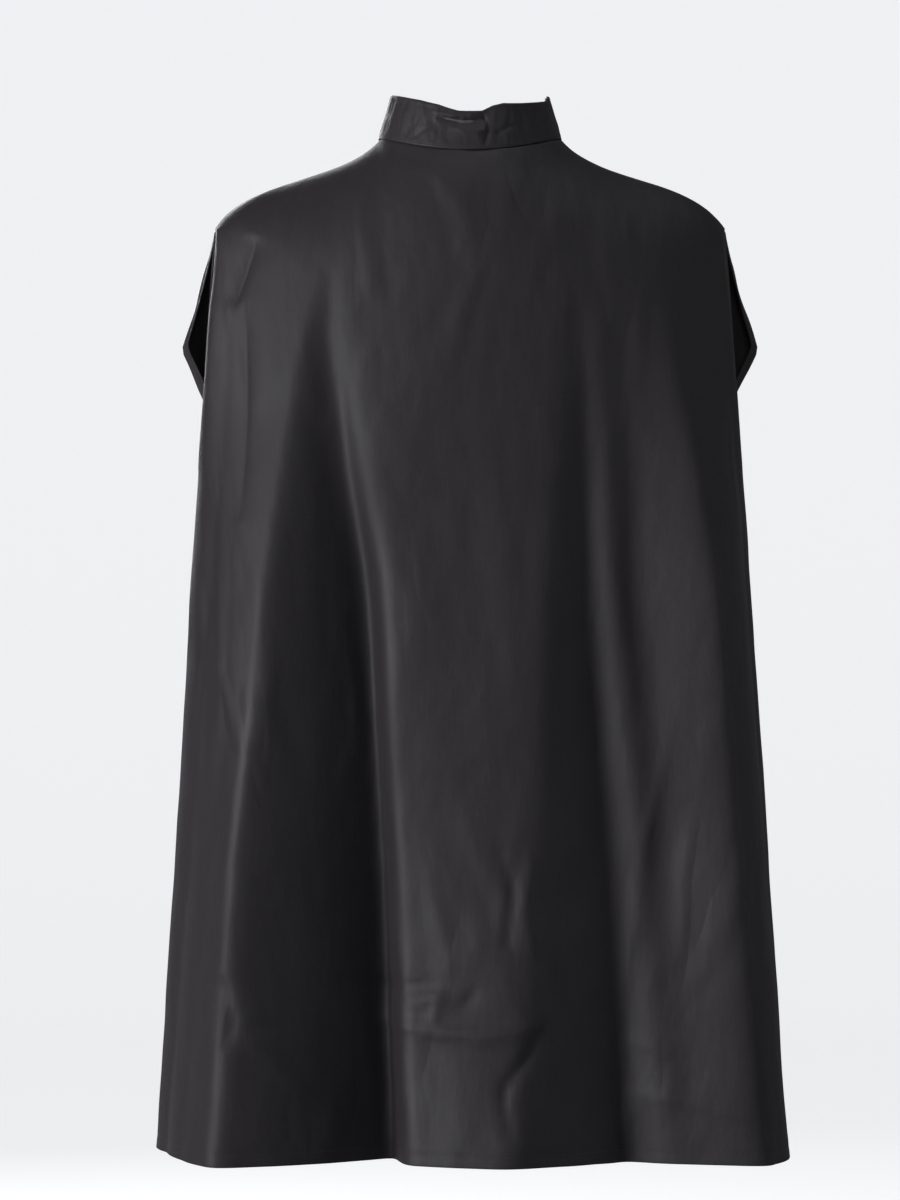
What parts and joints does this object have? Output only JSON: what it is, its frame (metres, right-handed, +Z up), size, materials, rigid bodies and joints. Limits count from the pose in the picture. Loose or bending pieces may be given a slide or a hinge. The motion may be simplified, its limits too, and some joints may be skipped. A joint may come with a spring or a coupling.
{
  "type": "barber cape",
  "caption": "Sleeveless cotton salon cape with a stand collar, bound armholes, a press-stud front and a flared, fluted skirt.",
  "frame": {"origin": "the middle of the neck opening, 9 mm above the collar seam at the centre back", "axes": "+Z up out of the neck, +X to the wearer's left, -Y to the front, where the press studs are"},
  "size_m": [0.5335, 0.3628, 0.8912],
  "materials": {
    "cotton": "black cotton poplin, plain weave, soft low sheen",
    "interlining": "charcoal non-woven, matt",
    "tape": "black woven cotton tape",
    "stud_metal": "black lacquered brass, satin"
  },
  "bodies": {
    "cape_body": {"back_panel": "cotton", "left_front_side": "cotton", "right_front_side": "cotton", "collar_back_outer": "cotton", "collar_back_interlining": "interlining", "collar_back_facing": "cotton", "left_armhole_binding": "tape", "right_armhole_binding": "tape"},
    "right_flap": {"right_front_flap": "cotton", "right_band_outer": "cotton", "right_band_interlining": "interlining", "right_band_facing": "cotton", "collar_right_outer": "cotton", "collar_right_interlining": "interlining", "collar_right_facing": "cotton", "collar_snap_cap": "stud_metal", "collar_snap_socket": "stud_metal", "front_1_snap_cap": "stud_metal", "front_1_snap_socket": "stud_metal", "front_2_snap_cap": "stud_metal", "front_2_snap_socket": "stud_metal", "front_3_snap_cap": "stud_metal", "front_3_snap_socket": "stud_metal", "front_4_snap_cap": "stud_metal", "front_4_snap_socket": "stud_metal", "front_5_snap_cap": "stud_metal", "front_5_snap_socket": "stud_metal", "front_6_snap_cap": "stud_metal", "front_6_snap_socket": "stud_metal"},
    "left_flap": {"left_front_flap": "cotton", "left_band_outer": "cotton", "left_band_interlining": "interlining", "left_band_facing": "cotton", "collar_left_outer": "cotton", "collar_left_interlining": "interlining", "collar_left_facing": "cotton", "collar_snap_stud": "stud_metal", "collar_snap_post": "stud_metal", "front_1_snap_stud": "stud_metal", "front_1_snap_post": "stud_metal", "front_2_snap_stud": "stud_metal", "front_2_snap_post": "stud_metal", "front_3_snap_stud": "stud_metal", "front_3_snap_post": "stud_metal", "front_4_snap_stud": "stud_metal", "front_4_snap_post": "stud_metal", "front_5_snap_stud": "stud_metal", "front_5_snap_post": "stud_metal", "front_6_snap_stud": "stud_metal", "front_6_snap_post": "stud_metal"},
    "hanger": {"hanger_loop": "tape"}
  },
  "joints": [
    {"name": "right_front_open", "type": "hinge", "parent": "cape_body", "child": "right_flap", "pos_m": [-0.06906, -0.10303, -0.18949], "axis": [-0.0472, -0.0978, -0.9941], "range_deg": [0, 130]},
    {"name": "left_front_open", "type": "hinge", "parent": "cape_body", "child": "left_flap", "pos_m": [0.06906, -0.10303, -0.18949], "axis": [-0.0472, 0.0978, 0.9941], "range_deg": [0, 78]},
    {"name": "hanger_loop_swing", "type": "hinge", "parent": "cape_body", "child": "hanger", "pos_m": [0, 0.0651, -0.006], "axis": [-1, 0, 0], "range_deg": [0, 150]}
  ],
  "couplings": [
    {"joint": "left_front_open", "follows": "right_front_open", "ratio": 0.6}
  ]
}
